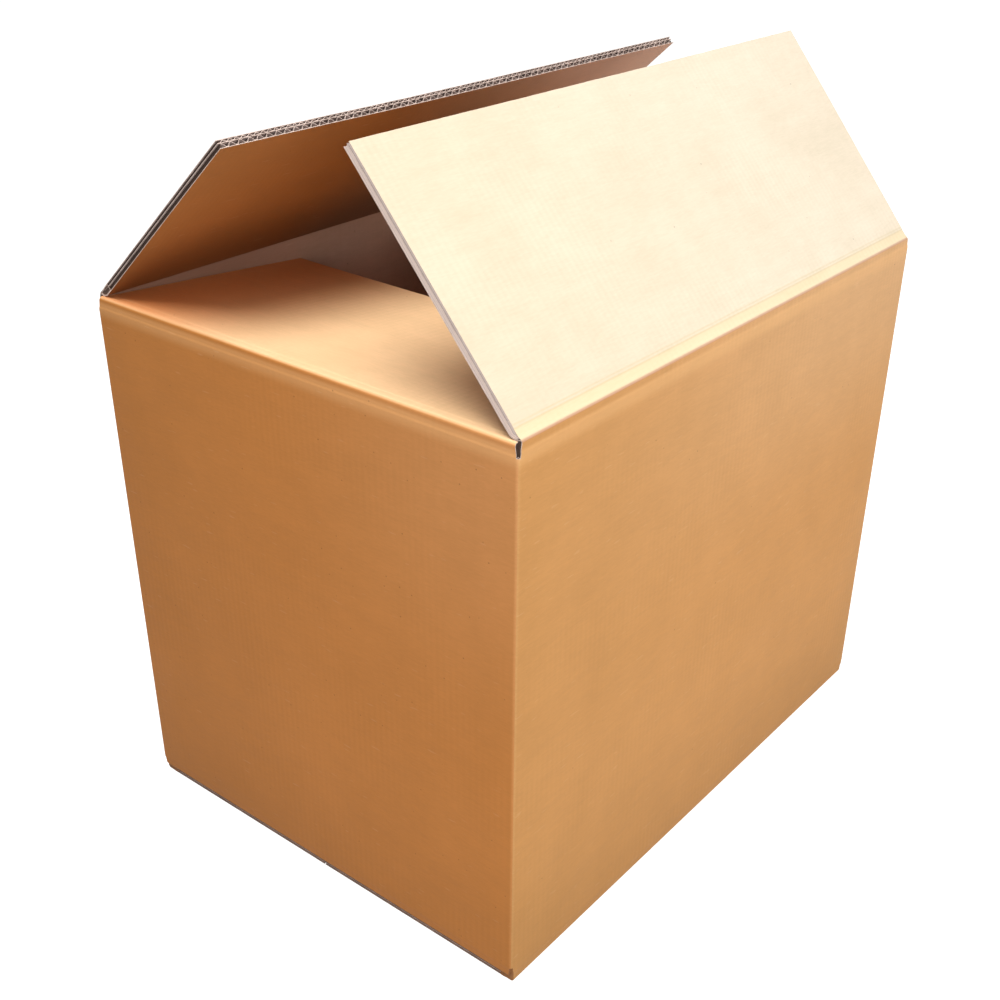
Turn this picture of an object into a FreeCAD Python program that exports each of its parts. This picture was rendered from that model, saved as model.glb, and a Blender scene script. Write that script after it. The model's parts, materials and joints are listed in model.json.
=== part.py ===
import FreeCAD
import Part
import math
import os
from FreeCAD import Vector

# Open corrugated carton: one slotted and creased blank of double-wall board, folded up and glued.
# Millimetres. Origin at the middle of the bottom, X along the long panels, Y across, Z up.
# The long top flaps lean inward above the folded end flaps, and each turns on its own crease.

# Outside of the box. The panels stand this high up to the folds of the end flaps.
box_length = 600.0
box_width = 450.0
panel_height = 500.0

# Double-wall board: three flat liners, with a fine and a coarse fluted sheet between them
liner = 0.4
fine_flute_height = 2.1
coarse_flute_height = 3.7
fine_flute_pitch = 6.4
coarse_flute_pitch = 9.0
fluted_sheet = 0.35
fine_crest = 0.8
coarse_crest = 1.1

# Creases: the outside of the board is pressed in along a band on each side of the fold line, and the
# flutes are crushed a little further
crease_depth = 0.4
crease_width = 7.0
crease_ramp = 1.5
crush_reach = 14.0
fold_radius = 3.0

# Turning creases of the long top flaps: a rounded root that rolls in a hollow along the panel's rim
hinge_gap = 0.3
rim_rise = 1.2
rim_radius = 1.5

# Upright corners, and the slots that part neighbouring flaps and end a little past the fold line
corner_radius = 4.0
slot_half_width = 4.0
slot_depth = 11.0
side_clearance = 1.0

# Glued joint of the blank's two ends: a lap on the right end panel, inside the rear panel
joint_lap = 38.0
joint_lap_taper = 14.0
joint_lap_clearance = 2.0
joint_inset = 1.0
joint_roll = 60.0

# Flaps: the seam where two of them meet, and how they stand
seam_gap = 2.0
layer_clearance = 0.3
end_flap_droop = 5.0
front_flap_lean = 40.4
rear_flap_lean = 48.0

# Worked-out sizes
board = 3 * liner + fine_flute_height + coarse_flute_height
half_length = box_length / 2
half_width = box_width / 2
root_radius = board - crease_depth
hinge_y = half_width - board
hinge_z = panel_height + layer_clearance + root_radius
crease_reach = crease_width + crease_ramp
flap_reach = half_width - seam_gap / 2
slot_top = panel_height - slot_depth
slot_bottom = board + slot_depth
past = 1.0


def wire(place, start, steps):
    # A step is a point for a straight edge, or a pair of points for an arc through one to the other.
    edges = []
    here = start
    for step in [*steps, start]:
        if isinstance(step[0], tuple):
            through, end = step
            edges.append(Part.Arc(place(*here), place(*through), place(*end)).toShape())
        else:
            end = step
            edges.append(Part.LineSegment(place(*here), place(*end)).toShape())
        here = end
    return Part.Wire(edges)


def bar(place, start, steps, run):
    return Part.Face(wire(place, start, steps)).extrude(run)


def block(low, high):
    size = [b - a for a, b in zip(low, high)]
    return Part.makeBox(*size, Vector(*low))


def on_circle(centre, radius, degrees):
    turn = math.radians(degrees)
    return (centre[0] + radius * math.cos(turn), centre[1] + radius * math.sin(turn))


def along(point, way, distance):
    return (point[0] + way[0] * distance, point[1] + way[1] * distance)


def fold_section(foot, level, reach, droop):
    # A panel's edge and the flap folded in from it: depth in from the panel's outside, then height.
    # The flap's outside is at the level where it is flat, and it droops below that by the angle.
    turn = math.radians(droop)
    way = (math.cos(turn), -math.sin(turn))
    out = (math.sin(turn), math.cos(turn))
    centre = (crease_depth + fold_radius, level - crease_depth - fold_radius)
    fold_start = (crease_depth, centre[1])
    fold_middle = on_circle(centre, fold_radius, (270 - droop) / 2)
    fold_end = on_circle(centre, fold_radius, 90 - droop)
    band_end = along(fold_end, way, crease_width)
    ramp_end = along(along(band_end, way, crease_ramp), out, crease_depth)
    tip = along(ramp_end, way, reach - crease_depth - fold_radius - crease_reach)
    inner_tip = along(tip, out, -board)
    inner_corner = (board, inner_tip[1] + (inner_tip[0] - board) * math.tan(turn))
    steps = [
        (0, fold_start[1]),
        fold_start,
        (fold_middle, fold_end),
        band_end,
        ramp_end,
        tip,
        inner_tip,
        inner_corner,
        (board, foot),
    ]
    return (0, foot), steps


def crease_cut(place, level, run):
    # The pressed band on the panel, below a fold whose flap has its outside at the level.
    low = level - crease_depth - fold_radius - crease_reach
    steps = [
        (crease_depth, low + crease_ramp),
        (crease_depth, level - crease_depth - fold_radius),
        (-past, level - crease_depth - fold_radius),
        (-past, low),
    ]
    return bar(place, (0, low), steps, run)


def rim_section():
    # The top of a long panel, hollowed along its inner side round the flap's hinge line.
    hollow = (board, hinge_z)
    reach = root_radius + hinge_gap
    top = panel_height + rim_rise
    lip = board - math.sqrt(reach ** 2 - (hinge_z - top) ** 2)
    lip_turn = math.degrees(math.atan2(hinge_z - top, board - lip))
    rounding = (crease_depth + rim_radius, top - rim_radius)
    steps = [
        (0, rounding[1]),
        (crease_depth, rounding[1]),
        (on_circle(rounding, rim_radius, 135), (rounding[0], top)),
        (lip, top),
        (on_circle(hollow, reach, 225 + lip_turn / 2), (board, hinge_z - reach)),
        (board, slot_top),
    ]
    return (0, slot_top), steps


def rim_crease_cut(place, run):
    # The pressed band on a long panel, below the crease that its top flap turns on.
    top = panel_height + rim_rise - rim_radius
    low = top - crease_reach
    steps = [(crease_depth, low + crease_ramp), (crease_depth, top), (-past, top), (-past, low)]
    return bar(place, (0, low), steps, run)


def wall_tube():
    # The four panels between the slots, seen from above, with the joint at the right rear corner.
    def place(x, y):
        return Vector(x, y, slot_bottom)

    left, right, front, rear = -half_length, half_length, -half_width, half_width
    radius = corner_radius
    lap_face = rear - board
    roll = math.radians(joint_roll)
    roll_centre = (right - radius, lap_face - radius * math.sin(roll))
    steps = [
        (left + radius, rear),
        (on_circle((left + radius, rear - radius), radius, 135), (left, rear - radius)),
        (left, front + radius),
        (on_circle((left + radius, front + radius), radius, 225), (left + radius, front)),
        (right - radius, front),
        (on_circle((right - radius, front + radius), radius, 315), (right, front + radius)),
        (right, roll_centre[1]),
        (on_circle(roll_centre, radius, joint_roll / 2), on_circle(roll_centre, radius, joint_roll)),
        (right - joint_inset, lap_face),
    ]
    up = Vector(0, 0, slot_top - slot_bottom)
    tube = bar(place, (right - joint_inset, rear), steps, up)
    inside = block(
        (left + board, front + board, 0),
        (right - board, rear - board, panel_height),
    )
    return tube.cut(inside)


def joint_flap(high):
    # The lap glued inside the rear panel, with both of its ends tapered clear of the end flaps.
    def place(x, z):
        return Vector(x, half_width - board, z)

    root = half_length - board
    tip = root - joint_lap
    low = 2 * board + joint_lap_clearance
    top = high - joint_lap_clearance
    steps = [(tip, low + joint_lap_taper), (tip, top - joint_lap_taper), (root, top)]
    return bar(place, (root, low), steps, Vector(0, -board, 0))


def box_body():
    long_run = box_length - 2 * slot_half_width
    end_run = box_width - 2 * slot_half_width
    pieces = [wall_tube()]
    cuts = []

    # Long panels: a hollowed rim under each turning flap, and the outer bottom flaps
    bottom_foot = panel_height - slot_bottom
    for side in (-1, 1):
        def high(depth, height):
            return Vector(-long_run / 2, side * (half_width - depth), height)

        def low(depth, height):
            return Vector(-long_run / 2, side * (half_width - depth), panel_height - height)

        run = Vector(long_run, 0, 0)
        pieces.append(bar(high, *rim_section(), run))
        pieces.append(bar(low, *fold_section(bottom_foot, panel_height, flap_reach, 0), run))
        cuts.append(rim_crease_cut(high, run))
        cuts.append(crease_cut(low, panel_height, run))

    # End panels: the top flaps folded in and drooping, and the inner bottom flaps
    top_section = fold_section(slot_top, panel_height, flap_reach, end_flap_droop)
    bottom_level = panel_height - board
    bottom_section = fold_section(bottom_foot, bottom_level, flap_reach, 0)
    for side in (-1, 1):
        def high(depth, height):
            return Vector(side * (half_length - depth), -end_run / 2, height)

        def low(depth, height):
            return Vector(side * (half_length - depth), -end_run / 2, panel_height - height)

        run = Vector(0, end_run, 0)
        flaps = bar(high, *top_section, run).fuse(bar(low, *bottom_section, run))
        pieces.append(flaps.cut(flap_side_cuts(side)))
        cuts.append(crease_cut(high, panel_height, run))
        cuts.append(crease_cut(low, bottom_level, run))

    inner_corner = top_section[1][-2]
    pieces.append(joint_flap(inner_corner[1]))
    return pieces[0].fuse(pieces[1:]).cut(cuts).removeSplitter()


def flap_side_cuts(side):
    # An end flap is trimmed past its fold, to lie between the long panels.
    near = half_length - slot_half_width + side_clearance
    far = half_length - flap_reach - past
    edge = half_width - board - side_clearance
    cuts = []
    for low, high in ((-half_width, -edge), (edge, half_width)):
        for bottom, top in ((0, slot_bottom), (slot_top - flap_reach, panel_height)):
            cuts.append(block(
                (min(side * near, side * far), low, bottom),
                (max(side * near, side * far), high, top),
            ))
    return cuts


def flute_holes(top, height, pitch, crest, half_run):
    # Openings on both sides of one fluted sheet, from the outer face down, as lists of four corners.
    slope = (pitch - 2 * crest) / 2
    bottom = top + height
    count = math.ceil(half_run / pitch) + 1
    holes = []
    for index in range(-count, count):
        x = index * pitch
        holes.append([
            (x + crest, top),
            (x + pitch, top),
            (x + 2 * crest + slope, bottom - fluted_sheet),
            (x + crest + slope, bottom - fluted_sheet),
        ])
        holes.append([
            (x, top + fluted_sheet),
            (x + crest, top + fluted_sheet),
            (x + crest + slope, bottom),
            (x - slope, bottom),
        ])
    return holes


def turning_flap():
    # Drawn upright on its hinge line: X along the crease, Y from the hinge line inward, Z to the tip.
    half_run = half_length - slot_half_width
    outer = -crease_depth
    inner = root_radius
    band_end = crease_width - root_radius
    crush_end = crush_reach - root_radius
    reach = hinge_y - seam_gap / 2
    run = Vector(2 * half_run, 0, 0)

    def side_view(depth, height):
        return Vector(-half_run, depth, height)

    def end_view(x, depth):
        return Vector(x, outer + depth, crush_end)

    root_steps = [
        (0, band_end),
        (outer, band_end + crease_ramp),
        (outer, crush_end),
        (inner, crush_end),
        (inner, 0),
        (on_circle((0, 0), root_radius, -45), (0, -root_radius)),
    ]
    root = bar(side_view, (0, (band_end - root_radius) / 2), root_steps, run)

    holes = flute_holes(liner, fine_flute_height, fine_flute_pitch, fine_crest, half_run)
    coarse_top = 2 * liner + fine_flute_height
    holes += flute_holes(coarse_top, coarse_flute_height, coarse_flute_pitch, coarse_crest, half_run)
    closed, cut_open = [], []
    for hole in holes:
        xs = [corner[0] for corner in hole]
        if -half_run < min(xs) and max(xs) < half_run:
            closed.append(wire(end_view, hole[0], hole[1:]))
        elif min(xs) < half_run and max(xs) > -half_run:
            cut_open.append(Part.Face(wire(end_view, hole[0], hole[1:])))
    corners = [(-half_run, board), (half_run, board), (half_run, 0)]
    outline = wire(end_view, (-half_run, 0), corners)
    up = Vector(0, 0, reach - crush_end)
    panel = Part.Face([outline, *closed]).extrude(up)
    panel = panel.cut([face.extrude(up) for face in cut_open])
    return root.fuse(panel).removeSplitter()


def hung(flap, side, lean):
    # Leans the upright flap inward about its hinge line, on the front (-1) or the rear (1) panel.
    shape = flap.copy()
    shape.rotate(Vector(0, 0, 0), Vector(1, 0, 0), -lean)
    if side > 0:
        shape.rotate(Vector(0, 0, 0), Vector(0, 0, 1), 180)
    shape.translate(Vector(0, side * hinge_y, hinge_z))
    return shape


flap = turning_flap()
parts = {
    "box_body": box_body(),
    "front_flap": hung(flap, -1, front_flap_lean),
    "rear_flap": hung(flap, 1, rear_flap_lean),
}

os.makedirs("parts", exist_ok=True)
for name, shape in parts.items():
    solid = shape.Solids[0]
    print(name, len(shape.Solids), "solid", round(solid.Volume), "mm3", len(solid.Faces), "faces")
    solid.exportStep(f"parts/{name}.step")
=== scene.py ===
import bmesh
import bpy
import json
import math
from mathutils import Matrix, Vector, noise


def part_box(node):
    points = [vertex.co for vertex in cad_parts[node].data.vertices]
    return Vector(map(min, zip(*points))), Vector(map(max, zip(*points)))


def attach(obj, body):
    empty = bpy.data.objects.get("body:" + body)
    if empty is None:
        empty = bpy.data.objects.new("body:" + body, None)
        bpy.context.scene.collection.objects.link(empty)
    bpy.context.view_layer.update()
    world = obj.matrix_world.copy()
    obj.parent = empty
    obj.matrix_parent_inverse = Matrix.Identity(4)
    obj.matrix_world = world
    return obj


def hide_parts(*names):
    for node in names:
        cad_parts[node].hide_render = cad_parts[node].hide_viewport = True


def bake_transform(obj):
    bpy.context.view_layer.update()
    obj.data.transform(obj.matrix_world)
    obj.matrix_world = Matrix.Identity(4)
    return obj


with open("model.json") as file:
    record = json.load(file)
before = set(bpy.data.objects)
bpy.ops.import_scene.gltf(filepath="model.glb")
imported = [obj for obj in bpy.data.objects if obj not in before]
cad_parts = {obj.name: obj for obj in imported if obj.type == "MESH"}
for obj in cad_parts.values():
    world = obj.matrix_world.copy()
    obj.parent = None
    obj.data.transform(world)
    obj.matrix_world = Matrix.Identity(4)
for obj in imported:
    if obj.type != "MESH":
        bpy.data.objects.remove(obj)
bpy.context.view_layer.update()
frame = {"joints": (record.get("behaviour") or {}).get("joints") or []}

mm = 0.001
tiny = 1e-6

# The carton's own sizes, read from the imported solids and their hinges
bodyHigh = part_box("box_body")[1]
halfLength = bodyHigh.x
halfWidth = bodyHigh.y
rimTop = bodyHigh.z
hinges = {joint["child"]: joint for joint in frame["joints"]}
hingeY = abs(hinges["front_flap"]["pos_m"][1])
hingeZ = hinges["front_flap"]["pos_m"][2]
boardThick = halfWidth - hingeY          # the hinge line stands over the panel's inner face

board = {
    "liner": 0.5 * mm,
    "fineHeight": 2.05 * mm,             # next to the outside liner
    "coarseHeight": 3.6 * mm,
    "finePitch": 6.4 * mm,
    "coarsePitch": 9.0 * mm,
    "flutePaper": 0.55 * mm,
    "fluteCrest": 1.5,                   # higher is flatter at the crests
    "stepsPerFlute": 8,
    "seamHalf": 0.4 * mm,                # each flap that meets another stops this far short of the middle
}

crease = {
    "depth": 0.4 * mm,                   # how far the score presses the outside liner in
    "width": 4.5 * mm,
    "ramp": 3.0 * mm,
    "rampSteps": 6,
    "foldRadius": 3.0 * mm,
    "foldSegments": 6,
    "crush": 14.0 * mm,                  # flutes are squashed this far from a fold
    "rimRise": 1.2 * mm,                 # a long panel's rim rises a little past the end folds
    "rimRadius": 1.5 * mm,
    "rimGap": 0.3 * mm,                  # round the root of the flap that turns in the rim
}

slots = {"half": 4.0 * mm, "depth": 11.0 * mm, "taper": 1.8 * mm}
panelHeight = rimTop - crease["rimRise"]
slotTop = panelHeight - slots["depth"]
slotBottom = boardThick + slots["depth"]
longRun = 2 * (halfLength - slots["half"])
endRun = 2 * (halfWidth - slots["half"])
flapReach = halfWidth - board["seamHalf"]
creaseReach = crease["width"] + crease["ramp"]
rimBand = rimTop - crease["rimRadius"]   # the score of a long crease ends here
rootRadius = boardThick - crease["depth"]
print("sizes read: carton", *(round(size, 3) for size in (halfLength * 2, halfWidth * 2, panelHeight)))


# Shader maths: an expression on these adds its Math nodes
class Signal:
    def __init__(self, tree, socket):
        self.tree = tree
        self.socket = socket

    def math(self, operation, *others):
        node = self.tree.nodes.new("ShaderNodeMath")
        node.operation = operation
        for place, value in enumerate((self, *others)):
            if isinstance(value, Signal):
                self.tree.links.new(value.socket, node.inputs[place])
            else:
                node.inputs[place].default_value = value
        return Signal(self.tree, node.outputs[0])

    def __add__(self, other):
        return self.math("ADD", other)

    def __radd__(self, other):
        return self.math("ADD", other)

    def __sub__(self, other):
        return self.math("SUBTRACT", other)

    def __rsub__(self, other):
        return (self * -1).math("ADD", other)

    def __mul__(self, other):
        return self.math("MULTIPLY", other)

    def __rmul__(self, other):
        return self.math("MULTIPLY", other)

    def __neg__(self):
        return self * -1

    def __abs__(self):
        return self.math("ABSOLUTE")

    def sine(self):
        return self.math("SINE")

    def power(self, exponent):
        return self.math("POWER", exponent)

    def most(self, other):
        return self.math("MAXIMUM", other)


class Nodes:
    def __init__(self, tree):
        self.tree = tree

    def node(self, kind, settings=None, **sockets):
        made = self.tree.nodes.new("ShaderNode" + kind)
        for name, value in (settings or {}).items():
            if name == "ramp":
                while len(made.color_ramp.elements) < len(value):
                    made.color_ramp.elements.new(0.5)
                for element, (position, colour) in zip(made.color_ramp.elements, value):
                    element.position = position
                    element.color = colour
            else:
                setattr(made, name, value)
        for name, value in sockets.items():
            numbered = name[0] == "i" and name[1:].isdigit()
            self.feed(made.inputs[int(name[1:])] if numbered else made.inputs[name], value)
        return made

    def feed(self, socket, value):
        if isinstance(value, Signal):
            self.tree.links.new(value.socket, socket)
        elif isinstance(value, bpy.types.NodeSocket):
            self.tree.links.new(value, socket)
        else:
            socket.default_value = value

    def signal(self, socket):
        return Signal(self.tree, socket)

    def seenBy(self, *rays):
        # 1 for rays of the kinds named, 0 for the ones that only carry light
        paths = self.node("LightPath")
        first, *others = (self.signal(paths.outputs[f"Is {ray} Ray"]) for ray in rays)
        for other in others:
            first = first.most(other)
        return first


class Finish(Nodes):
    def __init__(self, name):
        self.material = bpy.data.materials.new(name)
        self.material.use_nodes = True
        super().__init__(self.material.node_tree)
        self.shader = self.tree.nodes["Principled BSDF"]
        self.place = self.node("TexCoord").outputs["Object"]

    def axes(self):
        split = self.node("SeparateXYZ", Vector=self.place)
        return [self.signal(split.outputs[axis]) for axis in "XYZ"]

    def grain(self, size, stretch=(1, 1, 1), detail=3.0, roughness=0.5, seat=(0, 0, 0)):
        scale = [1 / (size * part) for part in stretch]
        mapping = self.node("Mapping", Vector=self.place, Scale=scale, Location=seat)
        made = self.node(
            "TexNoise", Vector=mapping.outputs["Vector"], Scale=1.0, Detail=detail, Roughness=roughness,
        )
        return self.signal(made.outputs["Fac"])

    def between(self, value, low, high, toLow=0.0, toHigh=1.0):
        made = self.node(
            "MapRange", {"interpolation_type": "SMOOTHSTEP"},
            Value=value, i1=low, i2=high, i3=toLow, i4=toHigh,
        )
        return self.signal(made.outputs["Result"])

    def mixed(self, factor, first, second, blend="MIX"):
        settings = {"data_type": "RGBA", "blend_type": blend}
        return self.node("Mix", settings, i0=factor, i6=first, i7=second).outputs[2]

    def finished(self, colour, roughness, height, bump):
        strength, distance = bump
        made = self.node("Bump", Height=height, Strength=strength, Distance=distance)
        self.feed(self.shader.inputs["Base Color"], colour)
        self.feed(self.shader.inputs["Roughness"], roughness)
        self.feed(self.shader.inputs["Normal"], made.outputs["Normal"])
        return self.material


def tone(red, green, blue):
    def linear(level):
        level /= 255
        return level / 12.92 if level <= 0.04045 else ((level + 0.055) / 1.055) ** 2.4

    return (linear(red), linear(green), linear(blue), 1.0)


kraftPaper = {
    "longPanel": tone(201, 145, 86),
    "longFlapLit": tone(209, 193, 168),     # painted highlight: the long flaps are paler for the strong light on them
    "rearFlap": tone(208, 178, 136),     # the rear one has less of that painted highlight, as it faces away from the light
    "endPanel": tone(192, 124, 62),
    # painted highlight: the tops of the end flaps are paler where the light falls on them
    "endFlapLit": tone(239, 199, 152),
    "insidePanel": tone(222, 179, 154),
    "insideFlap": tone(170, 112, 63),
    "insideFarLight": tone(224, 188, 168),    # painted light on the long flaps inside, paler towards the right
    "endShade": tone(212, 116, 44),      # the end flaps, where the rear flap shades them
    "paintedLight": tone(230, 196, 156),        # painted light: the panels are paler towards the light
    # painted light on the long flaps, paler to the right
    "paintedFlapLight": tone(234, 222, 204),
    "deepen": 0.88,
    "lighten": 1.09,
    "blueShift": 1.3,                    # darker spots are also more orange
    "mottleSize": 55 * mm,
    "cloudSize": 12.1 * mm,
    "fibreSize": 1.6 * mm,
    "fineSize": 0.56 * mm,
    "fibreStretch": 7.0,                 # fibres lie across the flutes, along the web of paper
    "grainShares": {"mottle": 0.5, "clouds": 0.3, "fibre": 0.4, "fine": 0.25},
    "heightShares": {"fibre": 0.35, "fine": 0.25, "clouds": 0.5, "flutes": 0.5},
    "washboard": 0.09,                   # how strongly the flutes print through the liner
    "washboardPatch": 90 * mm,
    "washboardDrift": 38 * mm,
    "speckSpacing": 13 * mm,
    "speck": tone(96, 60, 34),
    "speckShare": 0.5,
    "paleFibre": tone(240, 208, 168),
    "paleSize": 2.4 * mm,
    "paleShare": 0.08,
    "roughness": 0.58,
    "specular": 0.12,
    "bump": (0.28, 0.25 * mm),
    # worn paper, and along the end folds a painted highlight as well
    "rubAndHighlight": tone(250, 208, 158),
    "rubFold": 2.4 * mm,
    "rubCorner": 3.6 * mm,
    "rubCornerShare": 0.35,
    # painted shade in the score below an end fold
    "grooveShade": tone(140, 92, 40),
    # painted shade inside, above the rims and in a corner
    "insideShade": tone(84, 44, 18),
    # painted highlight on the pressed band below a rim
    "pressed": tone(238, 186, 128),
    # painted shadow line at a long fold
    "foldShadeLine": tone(176, 126, 102),
    # painted highlight above a long fold
    "flapBandHighlight": tone(222, 198, 148),
    "pressLine": tone(190, 168, 116),
}

# Changes of tone over the carton, most of them painted light and shade: where each starts, where it is
# full, and how much of it there is
toneRamps = {
    "pastRim": (-1.6 * mm, 0.6 * mm, 1.0),       # from a long panel to its flap, above the rim
    "pastEndFold": (0.8 * mm, 3.0 * mm, 1.0),    # from an end panel to its flap, in from the fold
    "upperEnd": (400 * mm, 420 * mm, 1.0),       # and only at the top
    "rearSide": (-10 * mm, 10 * mm, 1.0),        # along Y
    "endShade": (30 * mm, 200 * mm, 0.8),        # along Y, on the end flaps
    "endRear": (-20 * mm, 220 * mm, 0.07),       # along Y, darker: painted shade
    "endFront": (-50 * mm, 220 * mm, 0.12),      # against Y, paler: painted light
    # painted light, paler towards the top of the end panels
    "endTop": (200 * mm, 500 * mm, 1.0),
    "longLeft": (-300 * mm, 50 * mm, 0.07),      # along X, darker to the left: painted shade
    "longRight": (-350 * mm, 250 * mm, 1.0),     # along X, paler to the right: painted light
    # painted light, paler towards the top of the long panels
    "longTop": (250 * mm, 500 * mm, 0.35),
    # painted light on the long flaps, paler to the right
    "flapRight": (-350 * mm, 250 * mm, 0.4),
    "insideFarLight": (-130 * mm, 140 * mm, 0.6),     # along X, inside the long flaps: painted light
    "insideLeft": (-200 * mm, 80 * mm, 0.7),     # along X, darker to the left: painted shade in the inner corner
    # painted shade, only near the top inside
    "insideTop": (400 * mm, 480 * mm, 1.0),
    "floorShade": (0.0, 160 * mm, 0.13),              # up from the floor: painted shade, darker towards the floor
}

# Bands along a fold: each rises over the first two distances from it and falls over the next two
bands = {
    "pressed": (3.0 * mm, 7.0 * mm, 11 * mm, 21 * mm, 0.3),       # below a rim, catching the light
    "grooveShade": (2.0 * mm, 3.4 * mm, 3.8 * mm, 6.0 * mm, 0.08),     # below an end fold: painted shade in the score
    "insideShade": (-2.5 * mm, 1.5 * mm, 4 * mm, 70 * mm, 0.5),       # above a rim, inside: painted shade
    "creamHighlight": (-0.4 * mm, 0.8 * mm, 5.5 * mm, 8.0 * mm, 0.45),     # above a long crease, outside: painted highlight
}
# A painted shadow line at each long fold
foldShadeLine = {"drop": 0.5 * mm, "core": 0.3 * mm, "edge": 1.5 * mm, "share": 0.6}
doubleLine = {"rise": 7.7 * mm, "apart": 1.0 * mm, "core": 0.2 * mm, "edge": 0.9 * mm}


class Kraft(Finish):
    def __init__(self, name, panel, flap, along):
        # along is 0 where the flutes repeat along X, as on the long panels, and 1 where they do along Y
        super().__init__(name)
        self.outside = panel != "insidePanel"
        self.long = along == 0
        self.spot = self.axes()
        self.x, self.y, self.z = self.spot
        if self.long:
            self.onFlap = self.fade(self.z - rimTop, "pastRim")
        else:
            self.onFlap = self.fade(halfLength - abs(self.x), "pastEndFold") * self.fade(self.z, "upperEnd")
        self.onPanel = 1 - self.onFlap
        self.addGrain(along)
        colour = self.mixed(1.0, self.tones(panel, flap), self.shading(), "MULTIPLY")
        colour = self.specks(self.creaseMarks(self.folds(colour)))
        roughness = (self.grains["fibre"] - 0.5) * 0.14 + (self.grains["clouds"] - 0.5) * 0.10
        height = 0.0
        for key, share in kraftPaper["heightShares"].items():
            height = self.grains[key] * share + height
        self.shader.inputs["Specular IOR Level"].default_value = kraftPaper["specular"]
        self.finished(colour, roughness + kraftPaper["roughness"], height, kraftPaper["bump"])

    def fade(self, value, key, falling=False):
        low, high, share = toneRamps[key]
        ramp = self.between(value, low, high)
        return (1 - ramp) * share if falling else ramp * share

    def band(self, value, key):
        rise, full, hold, end, share = bands[key]
        return self.between(value, rise, full) * (1 - self.between(value, hold, end)) * share

    def addGrain(self, along):
        self.stretch = [1.0, 1.0, 1.0]
        self.stretch[along] = kraftPaper["fibreStretch"]
        wobble = self.grain(kraftPaper["washboardDrift"], (1, 1, 4), 1.0, 0.5, (9.0, 2.0, 1.0))
        patches = self.grain(kraftPaper["washboardPatch"], (1, 1, 1), 2.0, 0.5, (2.0, 4.0, 8.0))
        phase = self.spot[along] * (2 * math.pi / board["finePitch"]) + wobble * 1.2
        self.flutes = phase.sine() * 0.5 + 0.5
        self.patches = self.between(patches, 0.35, 0.7)
        self.grains = {
            "mottle": self.grain(kraftPaper["mottleSize"], (1, 1, 1.4), 4.0, 0.6),
            "clouds": self.grain(kraftPaper["cloudSize"], self.stretch, 3.0, 0.55, (3.1, 1.7, 0.4)),
            "fibre": self.grain(kraftPaper["fibreSize"], self.stretch, 2.0, 0.6, (0.3, 7.2, 2.2)),
            "fine": self.grain(kraftPaper["fineSize"], self.stretch, 2.0, 0.6, (5.3, 0.2, 4.2)),
            "flutes": self.flutes * self.patches,
        }

    def tones(self, panel, flap):
        # The paper's own colour, one tone for the panels and one for the flaps, with painted light and
        # shade over it: paler flaps, the painted shadow of the rear flap on the end flaps, and panels paler
        # towards the light
        flapTone = kraftPaper[flap]
        # The flaps' paler tones are painted highlight, with less of it on the rear flap
        if self.outside and self.long:
            flapTone = self.mixed(self.fade(self.y, "rearSide"), flapTone, kraftPaper["rearFlap"])
        elif self.outside:
            flapTone = self.mixed(self.fade(self.y, "endShade"), flapTone, kraftPaper["endShade"])
        elif self.long:
            flapTone = self.mixed(self.fade(self.x, "insideFarLight"), flapTone, kraftPaper["insideFarLight"])
        body = self.mixed(self.onFlap, kraftPaper[panel], flapTone)
        # Painted light: the long panels paler towards the top and right, their flaps towards the right, the
        # end panels towards the front and top
        if self.outside and self.long:
            pale = self.fade(self.z, "longTop") * self.onPanel * self.fade(self.x, "longRight")
            body = self.mixed(pale, body, kraftPaper["paintedLight"])
            body = self.mixed(self.onFlap * self.fade(self.x, "flapRight"), body, kraftPaper["paintedFlapLight"])
        elif self.outside:
            pale = self.fade(-self.y, "endFront") * self.fade(self.z, "endTop") * self.onPanel
            body = self.mixed(pale, body, kraftPaper["paintedLight"])
        return body

    def shading(self):
        shade = (self.flutes - 0.5) * self.patches * kraftPaper["washboard"] + 0.5
        for key, share in kraftPaper["grainShares"].items():
            shade = shade + (self.grains[key] - 0.5) * share
        level = self.between(shade, 0.08, 0.92, kraftPaper["deepen"], kraftPaper["lighten"])
        if self.outside:
            # Painted shade: darker towards the floor
            level = level * (1 - self.fade(self.z, "floorShade", True))
            # Painted shade: the long panels darker to the left, the end panels towards the rear
            side = self.fade(self.x, "longLeft", True) if self.long else self.fade(self.y, "endRear")
            level = level * (1 - side * self.onPanel)
        blue = level.power(kraftPaper["blueShift"])
        return self.node("CombineColor", Red=level, Green=level, Blue=blue).outputs["Color"]

    def folds(self, colour):
        # Below each top fold a pressed band with a painted highlight, and inside, painted shade above the
        # rim and in the left corner of the long panels
        clouds, fibre = self.grains["clouds"], self.grains["fibre"]
        below = panelHeight - self.z + (clouds - 0.5) * 1.6 * mm
        if self.outside:
            colour = self.mixed(self.band(below, "pressed") * self.onPanel, colour, kraftPaper["pressed"])
        else:
            insideShade = self.band(-below, "insideShade")
            if self.long:
                # Painted shade in the inner corner, darker towards the left and near the top
                corner = self.fade(self.x, "insideLeft", True) * self.fade(self.z, "insideTop")
                insideShade = insideShade.most(corner * self.onPanel)
            colour = self.mixed(insideShade, colour, kraftPaper["insideShade"])

        # Rubbed paper where the sheet is folded: the end folds, the bottom folds and the upright corners.
        # At the end folds this is also a painted highlight
        bottom = 1 - self.between(self.z + (clouds - 0.5) * 4 * mm, 0.3 * mm, kraftPaper["rubFold"])
        reach = kraftPaper["rubCorner"]
        cornerX = self.between(abs(self.x), halfLength - reach, halfLength - 0.4 * mm)
        cornerY = self.between(abs(self.y), halfWidth - reach, halfWidth - 0.4 * mm)
        wearAndHighlight = bottom.most(cornerX * cornerY * kraftPaper["rubCornerShare"]) * (0.12 + fibre * 0.35)
        if self.outside and not self.long:
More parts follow.
